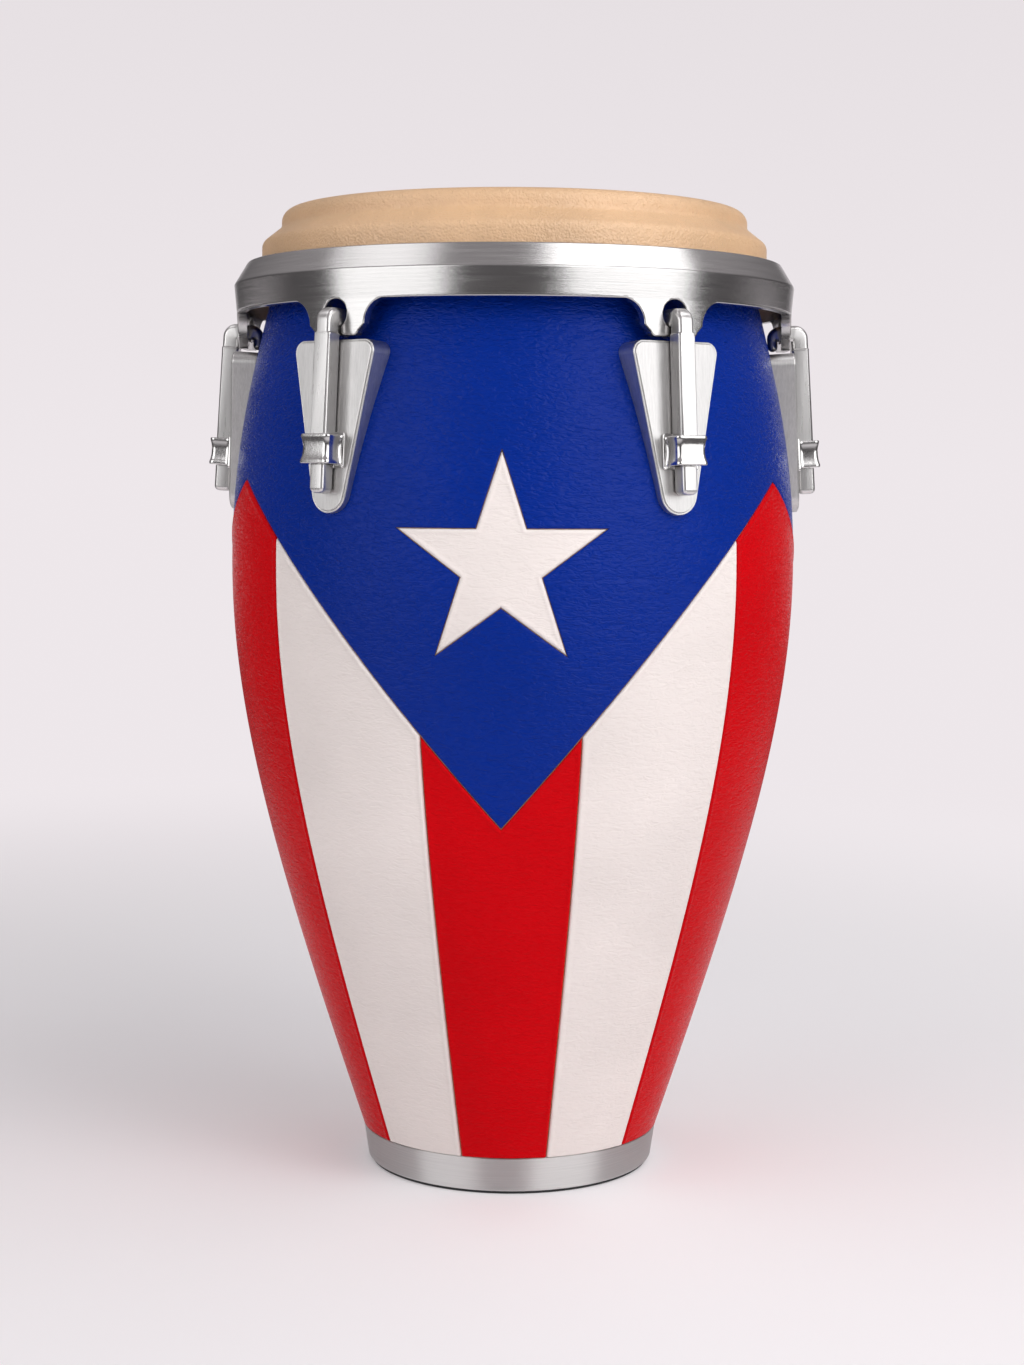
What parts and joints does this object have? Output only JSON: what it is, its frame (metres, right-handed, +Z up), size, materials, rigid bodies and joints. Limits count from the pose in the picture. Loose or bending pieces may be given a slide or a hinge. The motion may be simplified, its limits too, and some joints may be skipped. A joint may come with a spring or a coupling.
{
  "type": "conga drum",
  "caption": "Tall barrel hand drum with a moulded head, steel rim, hook-and-nut tension lugs, star-and-stripes painted panels and a steel base ring.",
  "frame": {"origin": "centre of the drum's footprint, on the floor", "axes": "+Z up along the drum's axis, the star faces -Y, +X to the viewer's right"},
  "size_m": [0.458, 0.4186, 0.711],
  "materials": {
    "shell_wood": "oiled inside of the shell",
    "blue_paint": "satin blue paint with an orange-peel texture",
    "red_paint": "satin red paint with an orange-peel texture",
    "white_paint": "satin warm white paint with an orange-peel texture",
    "rim_steel": "brushed round the rim",
    "ring_steel": "brushed round the ring",
    "plate_steel": "satin face, brushed sides",
    "hook_steel": "satin polished",
    "keeper_steel": "polished",
    "hoop_steel": "plain bright hoop",
    "inner_steel": "zinc-plated",
    "head_skin": "moulded tan head with a fine pebble grain",
    "pad_rubber": "black rubber"
  },
  "bodies": {
    "drum": {"staves_front": "shell_wood", "staves_right": "shell_wood", "staves_back": "shell_wood", "staves_left": "shell_wood", "blue_field": "blue_paint", "star_inlay": "white_paint", "base_ring": "ring_steel", "base_pad": "pad_rubber", "head": "head_skin", "flesh_hoop": "hoop_steel", "red_stripe_front": "red_paint", "red_stripe_left": "red_paint", "red_stripe_right": "red_paint", "red_stripe_back": "red_paint", "white_stripe_front_left": "white_paint", "white_stripe_front_right": "white_paint", "white_stripe_back_left": "white_paint", "white_stripe_back_right": "white_paint", "side_plate_1": "plate_steel", "side_plate_2": "plate_steel", "side_plate_3": "plate_steel", "side_plate_4": "plate_steel", "side_plate_5": "plate_steel", "side_plate_6": "plate_steel", "keeper_1": "keeper_steel", "keeper_2": "keeper_steel", "keeper_3": "keeper_steel", "keeper_4": "keeper_steel", "keeper_5": "keeper_steel", "keeper_6": "keeper_steel", "backing_plate_1": "inner_steel", "backing_plate_2": "inner_steel", "backing_plate_3": "inner_steel", "backing_plate_4": "inner_steel", "backing_plate_5": "inner_steel", "backing_plate_6": "inner_steel", "plate_bolts_1": "inner_steel", "plate_bolts_2": "inner_steel", "plate_bolts_3": "inner_steel", "plate_bolts_4": "inner_steel", "plate_bolts_5": "inner_steel", "plate_bolts_6": "inner_steel"},
    "rim": {"rim": "rim_steel"},
    "hook_1": {"hook_1": "hook_steel"},
    "nut_1": {"tension_nut_1": "hook_steel"},
    "hook_2": {"hook_2": "hook_steel"},
    "nut_2": {"tension_nut_2": "hook_steel"},
    "hook_3": {"hook_3": "hook_steel"},
    "nut_3": {"tension_nut_3": "hook_steel"},
    "hook_4": {"hook_4": "hook_steel"},
    "nut_4": {"tension_nut_4": "hook_steel"},
    "hook_5": {"hook_5": "hook_steel"},
    "nut_5": {"tension_nut_5": "hook_steel"},
    "hook_6": {"hook_6": "hook_steel"},
    "nut_6": {"tension_nut_6": "hook_steel"}
  },
  "joints": [
    {"name": "rim_slide", "type": "slide", "parent": "drum", "child": "rim", "axis": [0, 0, 1], "range_m": [0, 0.01]},
    {"name": "hook_slide_1", "type": "slide", "parent": "drum", "child": "hook_1", "axis": [-0.036, 0.0534, 0.9979], "range_m": [0, 0.0101]},
    {"name": "nut_turn_1", "type": "hinge", "parent": "drum", "child": "nut_1", "pos_m": [0.1226, -0.18175, 0.51483], "axis": [-0.036, 0.0534, 0.9979], "range_deg": [-2890, 0]},
    {"name": "hook_slide_2", "type": "slide", "parent": "drum", "child": "hook_2", "axis": [-0.0644, -0.0027, 0.9979], "range_m": [0, 0.0101]},
    {"name": "nut_turn_2", "type": "hinge", "parent": "drum", "child": "nut_2", "pos_m": [0.21904, 0.00918, 0.51483], "axis": [-0.0644, -0.0027, 0.9979], "range_deg": [-2890, 0]},
    {"name": "hook_slide_3", "type": "slide", "parent": "drum", "child": "hook_3", "axis": [-0.0314, -0.0562, 0.9979], "range_m": [0, 0.0101]},
    {"name": "nut_turn_3", "type": "hinge", "parent": "drum", "child": "nut_3", "pos_m": [0.10696, 0.19138, 0.51483], "axis": [-0.0314, -0.0562, 0.9979], "range_deg": [-2890, 0]},
    {"name": "hook_slide_4", "type": "slide", "parent": "drum", "child": "hook_4", "axis": [0.0314, -0.0562, 0.9979], "range_m": [0, 0.0101]},
    {"name": "nut_turn_4", "type": "hinge", "parent": "drum", "child": "nut_4", "pos_m": [-0.10696, 0.19138, 0.51483], "axis": [0.0314, -0.0562, 0.9979], "range_deg": [-2890, 0]},
    {"name": "hook_slide_5", "type": "slide", "parent": "drum", "child": "hook_5", "axis": [0.0644, -0.0027, 0.9979], "range_m": [0, 0.0101]},
    {"name": "nut_turn_5", "type": "hinge", "parent": "drum", "child": "nut_5", "pos_m": [-0.21904, 0.00918, 0.51483], "axis": [0.0644, -0.0027, 0.9979], "range_deg": [-2890, 0]},
    {"name": "hook_slide_6", "type": "slide", "parent": "drum", "child": "hook_6", "axis": [0.036, 0.0534, 0.9979], "range_m": [0, 0.0101]},
    {"name": "nut_turn_6", "type": "hinge", "parent": "drum", "child": "nut_6", "pos_m": [-0.1226, -0.18175, 0.51483], "axis": [0.036, 0.0534, 0.9979], "range_deg": [-2890, 0]}
  ],
  "couplings": [
    {"joint": "hook_slide_1", "follows": "rim_slide", "ratio": 1.0021},
    {"joint": "nut_turn_1", "follows": "rim_slide", "rad_per_m": -5037},
    {"joint": "hook_slide_2", "follows": "rim_slide", "ratio": 1.0021},
    {"joint": "nut_turn_2", "follows": "rim_slide", "rad_per_m": -5037},
    {"joint": "hook_slide_3", "follows": "rim_slide", "ratio": 1.0021},
    {"joint": "nut_turn_3", "follows": "rim_slide", "rad_per_m": -5037},
    {"joint": "hook_slide_4", "follows": "rim_slide", "ratio": 1.0021},
    {"joint": "nut_turn_4", "follows": "rim_slide", "rad_per_m": -5037},
    {"joint": "hook_slide_5", "follows": "rim_slide", "ratio": 1.0021},
    {"joint": "nut_turn_5", "follows": "rim_slide", "rad_per_m": -5037},
    {"joint": "hook_slide_6", "follows": "rim_slide", "ratio": 1.0021},
    {"joint": "nut_turn_6", "follows": "rim_slide", "rad_per_m": -5037}
  ]
}
